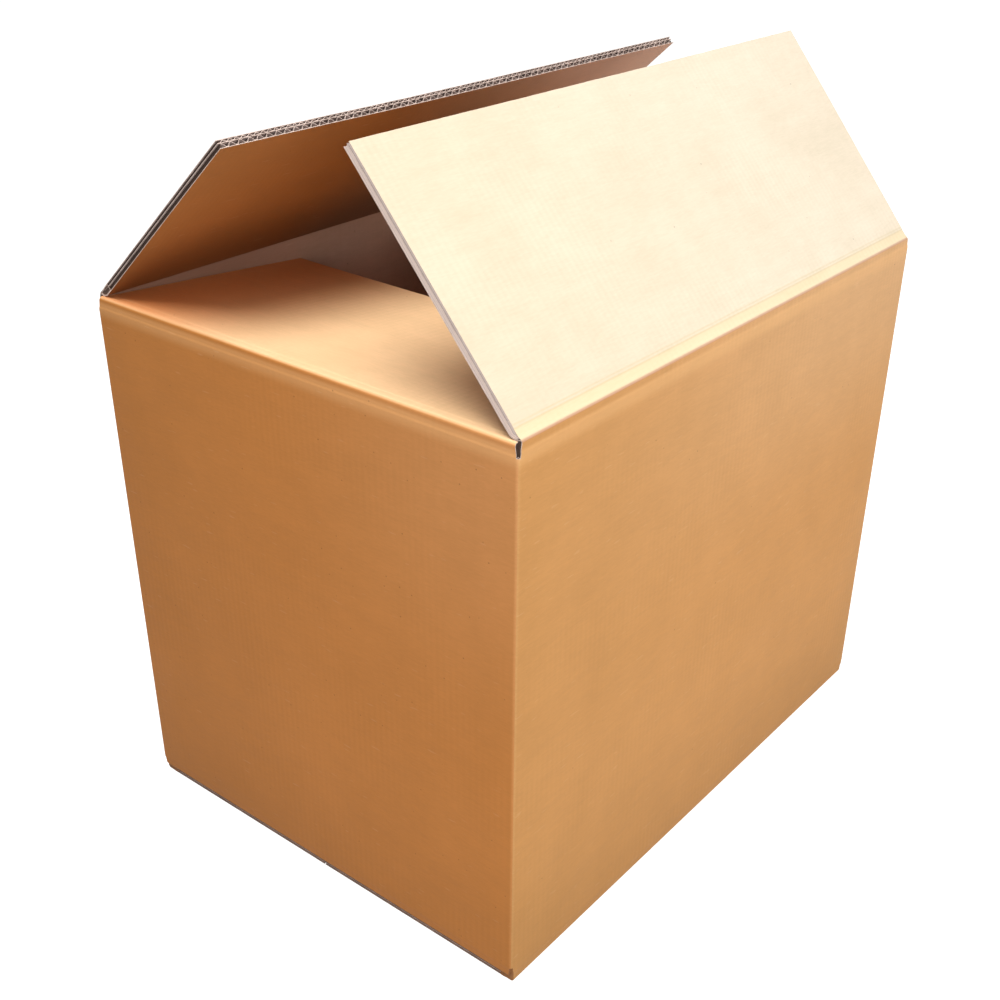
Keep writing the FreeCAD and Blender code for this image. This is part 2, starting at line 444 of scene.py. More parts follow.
            # Painted shade in the score below an end fold
            colour = self.mixed(self.band(below, "grooveShade") * self.onPanel, colour, kraftPaper["grooveShade"])
            # Along the end fold, worn paper and a painted highlight
            fold = abs(self.z - panelHeight) + self.onFlap * kraftPaper["rubFold"] * 0.5
            rubAndHighlight = 1 - self.between(fold, 0.4 * mm, kraftPaper["rubFold"])
            wearAndHighlight = wearAndHighlight.most(rubAndHighlight * (0.45 + clouds * 0.4))
        return self.mixed(wearAndHighlight, colour, kraftPaper["rubAndHighlight"])

    def creaseMarks(self, colour):
        # The long creases: a thin painted shadow line at the fold, a paler painted highlight band above it,
        # then a faint pair of lines
        if not (self.outside and self.long):
            return colour
        rise = self.z - rimTop
        colour = self.mixed(self.band(rise, "creamHighlight"), colour, kraftPaper["flapBandHighlight"])
        line = 1 - self.between(abs(rise + foldShadeLine["drop"]), foldShadeLine["core"], foldShadeLine["edge"])
        colour = self.mixed(line * foldShadeLine["share"], colour, kraftPaper["foldShadeLine"])
        apart = abs(abs(rise - doubleLine["rise"]) - doubleLine["apart"])
        pair = 1 - self.between(apart, doubleLine["core"], doubleLine["edge"])
        return self.mixed(pair * (0.1 + self.grains["clouds"] * 0.3), colour, kraftPaper["pressLine"])

    def specks(self, colour):
        # Specks of bark and a few pale fibres
        cells = self.node("TexVoronoi", Vector=self.place, Scale=1 / kraftPaper["speckSpacing"])
        chosen = self.node("SeparateColor", Color=cells.outputs["Color"])
        few = self.between(self.signal(chosen.outputs["Red"]), 0.80, 0.84)
        speck = (1 - self.between(self.signal(cells.outputs["Distance"]), 0.02, 0.07)) * few
        colour = self.mixed(speck * kraftPaper["speckShare"], colour, kraftPaper["speck"])
        pale = self.grain(kraftPaper["paleSize"], self.stretch, 1.0, 0.4, (1.0, 8.0, 3.0))
        pale = self.between(pale, 0.70, 0.78) * kraftPaper["paleShare"]
        return self.mixed(pale, colour, kraftPaper["paleFibre"])


cutEdge = {
    "liner": tone(226, 204, 192),
    "linerShade": tone(186, 166, 154),
    "flute": tone(200, 182, 174),
    "shadow": tone(136, 116, 108),
    "pale": tone(210, 190, 180),
    # painted shade on plies pressed shut in the slots
    "closedShade": tone(84, 60, 46),
    "dark": tone(46, 29, 20),            # painted shade: plies pressed shut beside a fold, where no light reaches
    "bottom": tone(176, 118, 64),        # the cuts under the carton, kraft brown and darker than the other cuts: painted shade
    "bottomShade": tone(124, 82, 44),
    "roughness": 0.85,
    "bump": (0.6, 0.2 * mm),
}


def cutPaper(name, colour, dark):
    made = Finish(name)
    fuzz = made.grain(0.5 * mm, (1, 1, 1), 3.0, 0.7)
    drift = made.grain(12 * mm, (1, 1, 1), 2.0, 0.5, (4.0, 1.0, 6.0))
    shade = made.between((fuzz - 0.5) * 1.3 + (drift - 0.5) * 0.8 + 0.5, 0.2, 0.8)
    roughness = cutEdge["roughness"] + (fuzz - 0.5) * 0.1
    shaded = made.mixed(shade, cutEdge[dark], cutEdge[colour])
    return made.finished(shaded, roughness, fuzz, cutEdge["bump"])


def plyEdge(name, stops):
    # A cut across the sheet where the plies are pressed together. The stops go from outside to inside.
    made = Finish(name)
    attribute = made.node("Attribute", {"attribute_name": "depth"})
    depth = made.signal(attribute.outputs["Fac"])
    fuzz = made.grain(0.6 * mm, (1, 1, 1), 3.0, 0.7)
    streak = made.grain(1.1 * mm, (1, 1, 6), 2.0, 0.6, (2.0, 5.0, 1.0))
    depth = depth + (fuzz - 0.5) * 0.06 + (streak - 0.5) * 0.10
    plies = made.node("ValToRGB", {"ramp": [(place, cutEdge[key]) for place, key in stops]}, Fac=depth)
    roughness = cutEdge["roughness"] + (fuzz - 0.5) * 0.1
    return made.finished(plies.outputs["Color"], roughness, fuzz, cutEdge["bump"])


finishes = {
    "longOutside": Kraft("kraft_outside_long", "longPanel", "longFlapLit", 0).material,
    "endOutside": Kraft("kraft_outside_end", "endPanel", "endFlapLit", 1).material,
    "longInside": Kraft("kraft_inside_long", "insidePanel", "insideFlap", 0).material,
    "endInside": Kraft("kraft_inside_end", "insidePanel", "insideFlap", 1).material,
    "cutLiner": cutPaper("cut_liner", "liner", "linerShade"),
    "flute": cutPaper("fluted_medium", "flute", "shadow"),
    # Painted shade: the dark cut edges in the slots
    "crushedShade": cutPaper("pressed_edge_painted_shade", "closedShade", "dark"),
    "bottomEdge": cutPaper("bottom_edge", "bottom", "bottomShade"),
    # The dark first stop is a painted contact shadow along the floor
    "bottomCut": plyEdge("side_cut_bottom", [
        (0.0, "dark"), (0.10, "bottomShade"), (0.24, "bottom"), (0.60, "bottomShade"),
        (0.75, "bottom"), (1.0, "bottom"),
    ]),
    # Painted shade: a side cut that lies in shade
    "shadedCut": plyEdge("side_cut_painted_shade", [
        (0.0, "dark"), (0.22, "closedShade"), (0.30, "shadow"), (0.38, "closedShade"), (0.46, "dark"),
        (1.0, "closedShade"),
    ]),
    # Painted light: the front flap's side cut, paler where the light falls on it
    "litCut": plyEdge("side_cut_painted_light", [
        (0.0, "flute"), (0.22, "flute"), (0.28, "shadow"), (0.36, "liner"), (0.46, "liner"),
        (0.56, "pale"), (0.66, "liner"), (0.76, "flute"), (0.86, "pale"), (1.0, "liner"),
    ]),
}
print("finishes made:", len(finishes))


# Board with its plies pressed shut: an outline across the sheet, run along the fold
def extruded(outline, outer, run, columns=1, taper=True, rim=board["liner"]):
    # A corner is (depth, height) or (depth, height, radius). The first ones, outer in number, lie outside.
    shape = bmesh.new()
    depthLayer = shape.verts.layers.float.new("depth")
    corners = [shape.verts.new((-run / 2, corner[0], corner[1])) for corner in outline]
    for place, vert in enumerate(corners):
        vert[depthLayer] = 0.0 if place < outer else 1.0
    face = shape.faces.new(corners)
    grown = bmesh.ops.extrude_face_region(shape, geom=[face])["geom"]
    far = [item for item in grown if isinstance(item, bmesh.types.BMVert)]
    bmesh.ops.translate(shape, vec=(run, 0, 0), verts=far)
    index = {vert: place for place, vert in enumerate(corners)}
    for side in shape.faces:
        near = sorted(index[vert] for vert in side.verts if vert in index)
        neighbours = len(near) == 2 and near[1] == near[0] + 1
        if neighbours and near[1] < outer:
            side.material_index = 0
        elif neighbours and near[0] >= outer:
            side.material_index = 1
        else:
            side.material_index = 2
    for vert, corner in zip(corners, outline):
        if len(corner) > 2:
            x = vert.co.x
            edges = [edge for edge in vert.link_edges if abs(edge.other_vert(vert).co.x - x) > run / 2]
            bmesh.ops.bevel(
                shape, geom=edges, offset=corner[2], offset_type="OFFSET", affect="EDGES",
                segments=crease["foldSegments"], profile=0.5, material=-1,
            )
    half = run / 2
    flat = [side for side in shape.faces if all(abs(abs(vert.co.x) - half) < tiny for vert in side.verts)]
    caps = [side for side in flat if abs(sum(vert.co.x for vert in side.verts)) > tiny]
    inset = bmesh.ops.inset_individual(shape, faces=caps, thickness=rim, use_even_offset=True)
    for side in inset["faces"]:
        side.material_index = 3
    foot = min(corner[1] for corner in outline)
    for vert in shape.verts:
        if taper and abs(vert.co.x) > half - tiny and vert.co.y < boardThick + tiny:
            share = max(0.0, 1 - (vert.co.z - foot) / slots["depth"])
            vert.co.x += math.copysign(slots["taper"] * share, vert.co.x)
    for column in range(1, columns):
        everything = shape.verts[:] + shape.edges[:] + shape.faces[:]
        cut = (run * (column / columns - 0.5), 0, 0)
        bmesh.ops.bisect_plane(shape, geom=everything, plane_co=cut, plane_no=(1, 0, 0))
    bmesh.ops.recalc_face_normals(shape, faces=shape.faces[:])
    return shape


def piece(name, shape, body, keys, place=None, sharp=30):
    if place is not None:
        bmesh.ops.transform(shape, matrix=place, verts=shape.verts[:])
    mesh = bpy.data.meshes.new(name)
    shape.to_mesh(mesh)
    shape.free()
    mesh.shade_smooth()
    mesh.set_sharp_from_angle(angle=math.radians(sharp))
    made = bpy.data.objects.new(name, mesh)
    bpy.context.scene.collection.objects.link(made)
    for key in keys:
        mesh.materials.append(finishes[key])
    if body is not None:
        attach(made, body)
    return made


def onCircle(centre, radius, degrees):
    turn = math.radians(degrees)
    return (centre[0] + radius * math.cos(turn), centre[1] + radius * math.sin(turn))


def halfTurn(side):
    # Front pieces stand as they are made, rear ones are turned about the carton's middle
    return Matrix.Rotation(0 if side < 0 else math.pi, 4, "Z")


def wallSide(axis, side, low=False, level=0.0):
    # Local X along the panel, Y in from its outside face, Z up, or down from the level for the bottom.
    if axis == "long":
        spot = Matrix.Translation((0, side * halfWidth, level)) @ halfTurn(side)
    else:
        turn = -math.pi / 2 if side < 0 else math.pi / 2
        spot = Matrix.Translation((side * halfLength, 0, level)) @ Matrix.Rotation(turn, 4, "Z")
    if low:
        spot = spot @ Matrix.Scale(-1, 4, (0, 0, 1))
    return spot


longKeys = ["longOutside", "longInside", "crushedShade", "cutLiner"]
endKeys = ["endOutside", "endInside", "crushedShade", "cutLiner"]
longFootKeys = ["longOutside", "longInside", "bottomEdge", "bottomEdge"]
endFootKeys = ["endOutside", "endInside", "bottomEdge", "bottomEdge"]

walls = {
    "cornerRadius": 3.0 * mm,
    "jointInset": 1.0 * mm,              # the rear panel's cut edge stops short of the corner
    "jointRoll": 60.0,                   # how far the right panel rolls in under it
    "jointGap": 0.12 * mm,
    "bow": 0.7 * mm,                     # the panels stand slightly hollow
    "lumps": 5.0,                        # unevenness of the hollow, in lumps a metre
    "rows": 9,
    "columns": 12,
}


def settled(shape, amount):
    # A shallow, uneven hollow in each panel, nothing at its borders
    innerX, innerY = halfLength - boardThick, halfWidth - boardThick
    lumps = walls["lumps"]
    for vert in shape.verts:
        x, y, z = vert.co
        upright = max(0.0, min(1.0, (z - slotBottom) / (slotTop - slotBottom)))
        fadeZ = math.sin(math.pi * upright) ** 2
        lump = 0.6 + 0.8 * noise.noise(Vector((x * lumps, y * lumps, z * lumps + 3)))
        if abs(y) > innerY - mm and abs(x) < innerX - mm:
            fade = math.cos(math.pi * x / 2 / innerX) ** 2 * fadeZ
            vert.co.y -= math.copysign(amount * fade * lump, y)
        elif abs(x) > innerX - mm and abs(y) < innerY - mm:
            fade = math.cos(math.pi * y / 2 / innerY) ** 2 * fadeZ
            vert.co.x -= math.copysign(amount * fade * lump, x)


def cartonWalls():
    left, right, front, rear = -halfLength, halfLength, -halfWidth, halfWidth
    radius = walls["cornerRadius"]
    lapFace = rear - boardThick - walls["jointGap"]
    roll = walls["jointRoll"]
    centre = (right - radius, lapFace - radius * math.sin(math.radians(roll)))
    outside = [
        (right - walls["jointInset"], rear), (left, rear, radius), (left, front, radius),
        (right, front, radius), (right, centre[1]), onCircle(centre, radius, roll / 3),
        onCircle(centre, radius, roll * 2 / 3), onCircle(centre, radius, roll),
    ]
    inside = [
        (right - boardThick, lapFace), (right - boardThick, front + boardThick),
        (left + boardThick, front + boardThick), (left + boardThick, rear - boardThick),
        (right - walls["jointInset"], rear - boardThick),
    ]
    height = slotTop - slotBottom
    shape = extruded(outside + inside, len(outside), height, 1, False)
    turned = Matrix(((0, 1, 0, 0), (0, 0, 1, 0), (1, 0, 0, 0), (0, 0, 0, 1)))
    upright = Matrix.Translation((0, 0, (slotTop + slotBottom) / 2)) @ turned
    bmesh.ops.transform(shape, matrix=upright, verts=shape.verts[:])
    columns, rows = walls["columns"], walls["rows"]
    across = [2 * step / columns - 1 for step in range(1, columns)]
    cuts = [(Vector((1, 0, 0)), halfLength * share) for share in across]
    cuts += [(Vector((0, 1, 0)), halfWidth * share) for share in across]
    cuts += [(Vector((0, 0, 1)), slotBottom + height * step / rows) for step in range(1, rows)]
    for way, far in cuts:
        everything = shape.verts[:] + shape.edges[:] + shape.faces[:]
        bmesh.ops.bisect_plane(shape, geom=everything, plane_co=way * far, plane_no=way)
    settled(shape, walls["bow"])
    return piece("carton_walls", shape, "carton", endKeys)


def paintLongSides(made, keys):
    # The flutes of the front and rear panels repeat along X, those of the end panels along Y
    mesh = made.data
    for key in keys:
        mesh.materials.append(finishes[key])
    for face in mesh.polygons:
        if face.material_index < 2 and abs(face.normal.y) > 0.71:
            face.material_index += 4


paintLongSides(cartonWalls(), longKeys[:2])
print("walls done")


def easedRamp(start, end):
    # The liner dips into the score along an S, given as (depth, height) points after the start
    steps = crease["rampSteps"]
    points = []
    for step in range(1, steps + 1):
        share = step / steps
        ease = share * share * (3 - 2 * share)
        points.append((start[0] + (end[0] - start[0]) * ease, start[1] + (end[1] - start[1]) * share))
    return points


def rimOutline():
    # The top of a long panel, hollowed along its inner side round the flap's hinge line
    reach = rootRadius + crease["rimGap"]
    hollow = (boardThick, hingeZ)
    lip = boardThick - math.sqrt(reach ** 2 - (hingeZ - rimTop) ** 2)
    turn = math.degrees(math.atan2(hingeZ - rimTop, boardThick - lip))
    band = rimBand - creaseReach
    outside = [
        (0, slotTop), (0, band), *easedRamp((0, band), (crease["depth"], band + crease["ramp"])),
        (crease["depth"], rimTop, crease["rimRadius"]), (lip, rimTop),
    ]
    inside = [onCircle(hollow, reach, 180 + turn + (90 - turn) * step / 4) for step in range(1, 5)]
    inside.append((boardThick, slotTop))
    return outside + inside, len(outside)


def foldOutline(foot, level, flapEnd, droop):
    # A panel's edge and the first stretch of the flap that folds in from it
    turn = math.radians(droop)
    way = Vector((math.cos(turn), -math.sin(turn)))
    out = Vector((math.sin(turn), math.cos(turn)))
    inset = crease["depth"] + crease["foldRadius"]
    centre = Vector((inset, level - inset))
    foldEnd = centre + out * crease["foldRadius"]
    apex = (crease["depth"], foldEnd.y + (foldEnd.x - crease["depth"]) * math.tan(turn))
    rise = [
        foldEnd + way * (crease["width"] + run) + out * press
        for press, run in [(0, 0), *easedRamp((0, 0), (crease["depth"], crease["ramp"]))]
    ]
    tip = foldEnd + out * crease["depth"] + way * flapEnd
    innerTip = tip - out * boardThick
    innerCorner = (boardThick, innerTip.y + (innerTip.x - boardThick) * math.tan(turn))
    low = centre.y - creaseReach
    bevelOffset = crease["foldRadius"] * math.tan(math.radians(90 + droop) / 2)
    outside = [
        (0, foot), (0, low), *easedRamp((0, low), (crease["depth"], low + crease["ramp"])),
        (*apex, bevelOffset), *[tuple(point) for point in rise], tuple(tip),
    ]
    inside = [tuple(innerTip), innerCorner, (boardThick, foot)]
    root = foldEnd + out * crease["depth"]
    return outside + inside, len(outside), root


folds = {"droop": 5.0, "longColumns": 24, "endColumns": 20}
flatStart = crease["crush"] - crease["foldRadius"]
flapRoots = {}


def bottomFold(word, axis, side, level, run, columns, keys):
    # Made as a top fold and mirrored down, so its faces are turned the other way first
    outline, outer, root = foldOutline(panelHeight - slotBottom, level, flatStart, 0)
    shape = extruded(outline, outer, run, columns)
    bmesh.ops.reverse_faces(shape, faces=shape.faces[:])
    place = wallSide(axis, side, True, panelHeight)
    piece(word + "_bottom_fold", shape, "carton", keys, place)
    flapRoots[word + "_bottom"] = (place, root, 0.0)


for side, word in ((-1, "front"), (1, "rear")):
    outline, outer = rimOutline()
    shape = extruded(outline, outer, longRun, folds["longColumns"])
    piece(word + "_rim", shape, "carton", longKeys, wallSide("long", side))
    bottomFold(word, "long", side, panelHeight, longRun, folds["longColumns"], longFootKeys)
for side, word in ((-1, "left"), (1, "right")):
    outline, outer, root = foldOutline(slotTop, panelHeight, flatStart, folds["droop"])
    shape = extruded(outline, outer, endRun, folds["endColumns"])
    place = wallSide("end", side)
    piece(word + "_top_fold", shape, "carton", endKeys, place)
    flapRoots[word + "_top"] = (place, root, folds["droop"])
    bottomFold(word, "end", side, panelHeight - boardThick, endRun, folds["endColumns"], endFootKeys)
print("folds done")


# Open board: five sheets of paper, each a row of edges drawn out along the flutes
def sheet(width, columns, route, thick, wave=None, inward=None):
    # The route gives the outside of the paper, and inward the way its thickness goes at a point.
    shape = bmesh.new()
    depthLayer = shape.verts.layers.float.new("depth")
    ends = [shape.verts.new((x, 0, 0)) for x in (-width / 2, width / 2)]
    shape.edges.new(ends)
    bmesh.ops.subdivide_edges(shape, edges=shape.edges[:], cuts=columns - 1)
    for vert in shape.verts:
        vert.co.y = route[0][0] + (wave(vert.co.x) if wave else 0)
        vert.co.z = route[0][1]
    edges = shape.edges[:]
    for here, there in zip(route, route[1:]):
        grown = bmesh.ops.extrude_edge_only(shape, edges=edges)["geom"]
        verts = [item for item in grown if isinstance(item, bmesh.types.BMVert)]
        bmesh.ops.translate(shape, vec=(0, there[0] - here[0], there[1] - here[1]), verts=verts)
        lifted = set(verts)
        edges = [edge for edge in shape.edges if edge.verts[0] in lifted and edge.verts[1] in lifted]
    back = bmesh.ops.extrude_face_region(shape, geom=shape.faces[:], use_keep_orig=True)["geom"]
    behind = {item for item in back if isinstance(item, bmesh.types.BMVert)}
    for vert in behind:
        way = inward(vert.co) if inward else Vector((0, 1, 0))
        vert.co += way * thick
        vert[depthLayer] = 1.0
    for face in shape.faces:
        count = sum(vert in behind for vert in face.verts)
        face.material_index = 0 if count == 0 else 2 if count == len(face.verts) else 1
    bmesh.ops.recalc_face_normals(shape, faces=shape.faces[:])
    return shape


def corrugation(height, pitch):
    # Paper pressed between fluting rolls: near a sine wave, a little flattened at its crests
    swing = (height - board["flutePaper"]) / 2
    crest = board["fluteCrest"]

    def wave(x):
        return swing * math.tanh(crest * math.cos(2 * math.pi * x / pitch)) / math.tanh(crest)

    return wave


flapLook = {
    "rows": 14,
    "linerColumns": 150,
    "fluteShort": 0.25 * mm,             # the fluted sheets end this far short of the liners
    "sideShort": 1.2 * mm,
    "raggedCut": 0.35 * mm,
    "sideStrip": 1.2 * mm,               # the flutes are torn and pressed this wide along a side cut
    "frontCut": (0.2 * mm, "litCut"),   # how deep the pressed flutes lie behind a side cut, and its look: painted light on the front flap's cut, painted shade on the rear flap's and the end flaps' cuts
    "rearCut": (1.6 * mm, "shadedCut"),
    "otherCut": (0.8 * mm, "shadedCut"),
    "bottomCut": (0.8 * mm, "bottomCut"),
    "warp": 1.6 * mm,                    # how far the tip of a free flap curls in at most
    "drape": 2.2 * mm,                   # how far the tip of an end flap hangs at most
    "sideRoom": 1.0 * mm,                # between an end flap and the long panels
    "sharpAngle": 50,
}


def raggedTip(shape, tip, amount, seed):
    # The slotting knife leaves each ply ending a hair apart: a slow drift and small nicks
    for vert in shape.verts:
        if vert.co.z > tip - tiny:
            drift = noise.noise(Vector((vert.co.x * 60, seed * 7.3, 0)))
            nick = noise.noise(Vector((vert.co.x * 400, seed * 3.1, 5.0)))
            vert.co.z -= amount * (0.55 + 0.45 * drift + 0.5 * max(0.0, nick))


def layeredFlap(prefix, body, place, width, start, tip, outsideKeys, curl, seed, cut, rootArc=False):
    # Local X along the crease, Y in from the outside face, Z from the crease to the cut edge
    liner, paper = board["liner"], board["flutePaper"]
    middle = liner + board["fineHeight"]
    depths = {
        "outer_liner": 0.0,
        "fine_flutes": liner + (board["fineHeight"] - paper) / 2,
        "middle_liner": middle,
        "coarse_flutes": middle + liner + (board["coarseHeight"] - paper) / 2,
        "inner_liner": boardThick - liner,
    }
    flutings = {
        "fine_flutes": (board["fineHeight"], board["finePitch"]),
        "coarse_flutes": (board["coarseHeight"], board["coarsePitch"]),
    }
    rows = flapLook["rows"]
    strip = flapLook["sideStrip"]
    fluteWidth = width - 2 * (cut[0] + strip)
    centre = (crease["depth"], 0)

    def roundRoot(point):
        # The inner liner wraps the root, so its thickness points away from the hinge line there
        if point.z > -tiny:
            return Vector((0, 1, 0))
        return Vector((0, point.y - centre[0], point.z)).normalized()

    for number, (word, depth) in enumerate(depths.items()):
        wave, inward = None, None
        thick, columns, end = liner, flapLook["linerColumns"], tip
        keys = ["flute", "cutLiner", "flute"]
        if word in flutings:
            height, pitch = flutings[word]
            count = round(fluteWidth / pitch)
            wave = corrugation(height, fluteWidth / count)
            thick, columns, end = paper, count * board["stepsPerFlute"], tip - flapLook["fluteShort"]
        elif word == "outer_liner":
            keys[0] = outsideKeys[0]
        elif word == "inner_liner":
            keys[2] = outsideKeys[1]
        route = [(depth, start + (end - start) * step / rows) for step in range(rows + 1)]
        if rootArc and word == "outer_liner":
            route = [(depth, hingeLiner["up"]), *route]
        if rootArc and word == "inner_liner":
            arc = [onCircle(centre, rootRadius - liner, -90 + 15 * step) for step in range(1, 7)]
            route = arc + route
            inward = roundRoot
        shape = sheet(fluteWidth if wave else width, columns, route, thick, wave, inward)
        raggedTip(shape, end, flapLook["raggedCut"], seed + number)
        for vert in shape.verts:
            vert.co.y += curl(vert.co.x, vert.co.z)
        piece(prefix + "_" + word, shape, body, keys, place, flapLook["sharpAngle"])
    for side, word in ((-1, "left"), (1, "right")):
        end = tip - flapLook["sideShort"]
        route = [(liner, start + (end - start) * step / rows) for step in range(rows + 1)]
        shape = sheet(strip, 1, route, boardThick - 2 * liner)
        for vert in shape.verts:
            vert.co.x += side * (fluteWidth + strip) / 2
            vert.co.y += curl(vert.co.x, vert.co.z)
        name = prefix + "_" + word + "_side_cut"
        piece(name, shape, body, [cut[1]] * 3, place, flapLook["sharpAngle"])


def crushedRoot(prefix, body, place, width, cut):
    # The pressed plies between the two liners, from the rounded root to where the flutes open
    liner = board["liner"]
    outerDepth = crease["depth"] + liner
    band = crease["width"] - rootRadius
    top = crease["crush"] - rootRadius
    centre = (crease["depth"], 0)
    outside = [
        (outerDepth, -rootRadius + liner * 1.3), (outerDepth, band), (liner, band + crease["ramp"]),
        (liner, top),
    ]
    inside = [(boardThick - liner, top), (boardThick - liner, 0)]
    inside += [onCircle(centre, rootRadius - liner, -15 * step) for step in range(1, 6)]
    shape = extruded(outside + inside, len(outside), width, 1, False)
    piece(prefix + "_crushed_root", shape, body, [cut, cut, cut, "cutLiner"], place)


# The liner that carries on over each long crease, bent round the fold
hingeLiner = {
    "thick": 0.3 * mm,
    "columns": 60,
    "up": 2.6 * mm,
    "bendSteps": 8,
    "over": 0.1 * mm,                    # how far it stands out from the pressed board
    "panelStop": 1.2 * mm,               # where the bend starts below the rim's rounding
    "flapStop": 1.6 * mm,                # and where it ends above the flap's root
    "sharpAngle": 80,
}


def flapLean(body):
    # How far the flap leans in from upright as the photograph shows it
    return math.radians(90 + hinges[body]["range_deg"][0])


flapTip = hingeY - 1.0 * mm
for side, word in ((-1, "front"), (1, "rear")):
    body = word + "_flap"
    place = Matrix.Translation((0, side * hingeY, hingeZ)) @ halfTurn(side)
    place = place @ Matrix.Rotation(-flapLean(body), 4, "X")
    place = place @ Matrix.Translation((0, -crease["depth"], 0))

    def freeCurl(x, z, side=side):
        rise = max(0.0, z / flapTip) ** 2
        lumps = 0.25 * noise.noise(Vector((x * 6, z * 6, side * 4.0)))
        return flapLook["warp"] * rise * (0.35 + 0.5 * math.cos(math.pi * x / longRun) + lumps)

    cut = flapLook[word + "Cut"]
    crushedRoot(body, body, place, longRun, cut[1])
    start = crease["crush"] - rootRadius
    layeredFlap(body, body, place, longRun, start, flapTip, longKeys, freeCurl, side * 2.0 + 3, cut, True)
    print(body, "done")

for key, (place, root, angle) in flapRoots.items():
    end = key.startswith(("left", "right"))
    width = 2 * (halfWidth - boardThick - flapLook["sideRoom"]) if end else longRun
    # Local frame of the flap: its outside face is at depth 0, and Z runs from the fold
    turned = Matrix.Rotation(-math.radians(90 + angle), 4, "X")
    local = place @ Matrix.Translation((0, root.x, root.y)) @ turned
    reach = flapReach - crease["depth"] - crease["foldRadius"]

    def drape(x, z, angle=angle):
        # Only the end flaps on top hang, by their own weight
        if angle == 0:
            return 0.0
        rise = max(0.0, (z - flatStart) / (reach - flatStart))
        return flapLook["drape"] * rise * rise * (0.5 + 0.5 * math.cos(math.pi * x / endRun))

    keys = endKeys if end else longKeys
    cut = flapLook["bottomCut" if "bottom" in key else "otherCut"]
    layeredFlap(key + "_flap", "carton", local, width, flatStart, reach, keys, drape, len(key) * 1.3, cut)
print("end and bottom flaps done")


lap = {"reach": 38 * mm, "taper": 14 * mm, "clear": 2 * mm, "pressed": 0.8}


def glueLap():
    root = halfLength - boardThick
    tip = root - lap["reach"]
    low = 2 * boardThick + lap["clear"]
    top = panelHeight - boardThick - crease["depth"] - lap["clear"]
    face = halfWidth - boardThick - walls["jointGap"]
    shape = bmesh.new()
    corners = [(root, low), (tip, low + lap["taper"]), (tip, top - lap["taper"]), (root, top)]
    shape.faces.new([shape.verts.new((x, face, z)) for x, z in corners])
    grown = bmesh.ops.extrude_face_region(shape, geom=shape.faces[:])["geom"]
    moved = [item for item in grown if isinstance(item, bmesh.types.BMVert)]
    bmesh.ops.translate(shape, vec=(0, -boardThick * lap["pressed"], 0), verts=moved)
    bmesh.ops.recalc_face_normals(shape, faces=shape.faces[:])
    for side in shape.faces:
        side.material_index = 0 if abs(side.normal.y) > 0.9 else 1
    piece("glue_lap", shape, "carton", ["longInside", "cutLiner"])


glueLap()
print("glue lap done")


def creaseLiner(side, word):
    body = word + "_flap"
    lean = flapLean(body)
    over = hingeLiner["over"]
    # Points across the fold, as (distance out from the carton's middle plane, height)
    way = Vector((-math.sin(lean), math.cos(lean)))
    out = Vector((math.cos(lean), math.sin(lean)))
    hinge = Vector((hingeY, hingeZ))
    band = rimBand - creaseReach
    panel = [(0, band), *easedRamp((0, band), (crease["depth"] - over, band + crease["ramp"]))]
    panelTop = Vector((halfWidth - crease["depth"] + over, rimBand - hingeLiner["panelStop"]))
    points = [Vector((halfWidth - depth, height)) for depth, height in panel] + [panelTop]
    rampFoot = hingeLiner["up"] - crease["ramp"]
    flapFoot = hinge + out * over - way * (rootRadius - hingeLiner["flapStop"])
    knee = panelTop + Vector((0, 1)) * ((flapFoot - panelTop).length / 2 / math.cos(lean / 2))
    for step in range(1, hingeLiner["bendSteps"]):
        share = step / hingeLiner["bendSteps"]
        left = 1 - share
        points.append(left ** 2 * panelTop + 2 * share * left * knee + share ** 2 * flapFoot)
    points.append(flapFoot)
    lift = [(over, rampFoot), *easedRamp((over, rampFoot), (crease["depth"], hingeLiner["up"]))]
    points += [hinge + out * height + way * run for height, run in lift]
    route = [(-point.x, point.y) for point in points]

    def inward(point):
        share = max(0.0, min(1.0, (point.z - panelTop.y) / (flapFoot.y - panelTop.y)))
        return Vector((0, math.cos(lean * share), -math.sin(lean * share)))

    shape = sheet(longRun, hingeLiner["columns"], route, hingeLiner["thick"], None, inward)
    keys = ["longOutside", "cutLiner", "flute"]
    made = piece(word + "_crease_liner", shape, None, keys, halfTurn(side), hingeLiner["sharpAngle"])
    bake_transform(made)


for side, word in ((-1, "front"), (1, "rear")):
    creaseLiner(side, word)
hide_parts("box_body")
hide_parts("front_flap")
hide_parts("rear_flap")
print("creases done")


studio = {
    "floorSize": 9.0,
    "floorTone": (0.50, 0.50, 0.50, 1.0),
    "floorLift": 0.88,                   # added to what the camera sees of the floor
    "worldLight": 0.34,
    "aim": Vector((0, 0, 0.35)),
    "lamps": {
        "key": {"way": Vector((0.42, -0.88, 0.20)), "far": 2.0, "size": 1.2, "watts": 13.0},
        "top": {"way": Vector((-0.34, -0.08, 1.0)), "far": 2.1, "size": 1.3, "watts": 42.0},
        "fill": {"way": Vector((-0.66, -0.80, 0.36)), "far": 1.6, "size": 0.9, "watts": 9.5},
    },
}


def softLight(name, look):
    lamp = bpy.data.lights.new(name, "AREA")
    lamp.shape = "DISK"
    lamp.size = look["size"]
    lamp.energy = look["watts"]
    made = bpy.data.objects.new(name, lamp)
    bpy.context.scene.collection.objects.link(made)
    made.location = studio["aim"] + look["way"].normalized() * look["far"]
    made.rotation_mode = "QUATERNION"
    made.rotation_quaternion = look["way"].to_track_quat("Z", "Y")


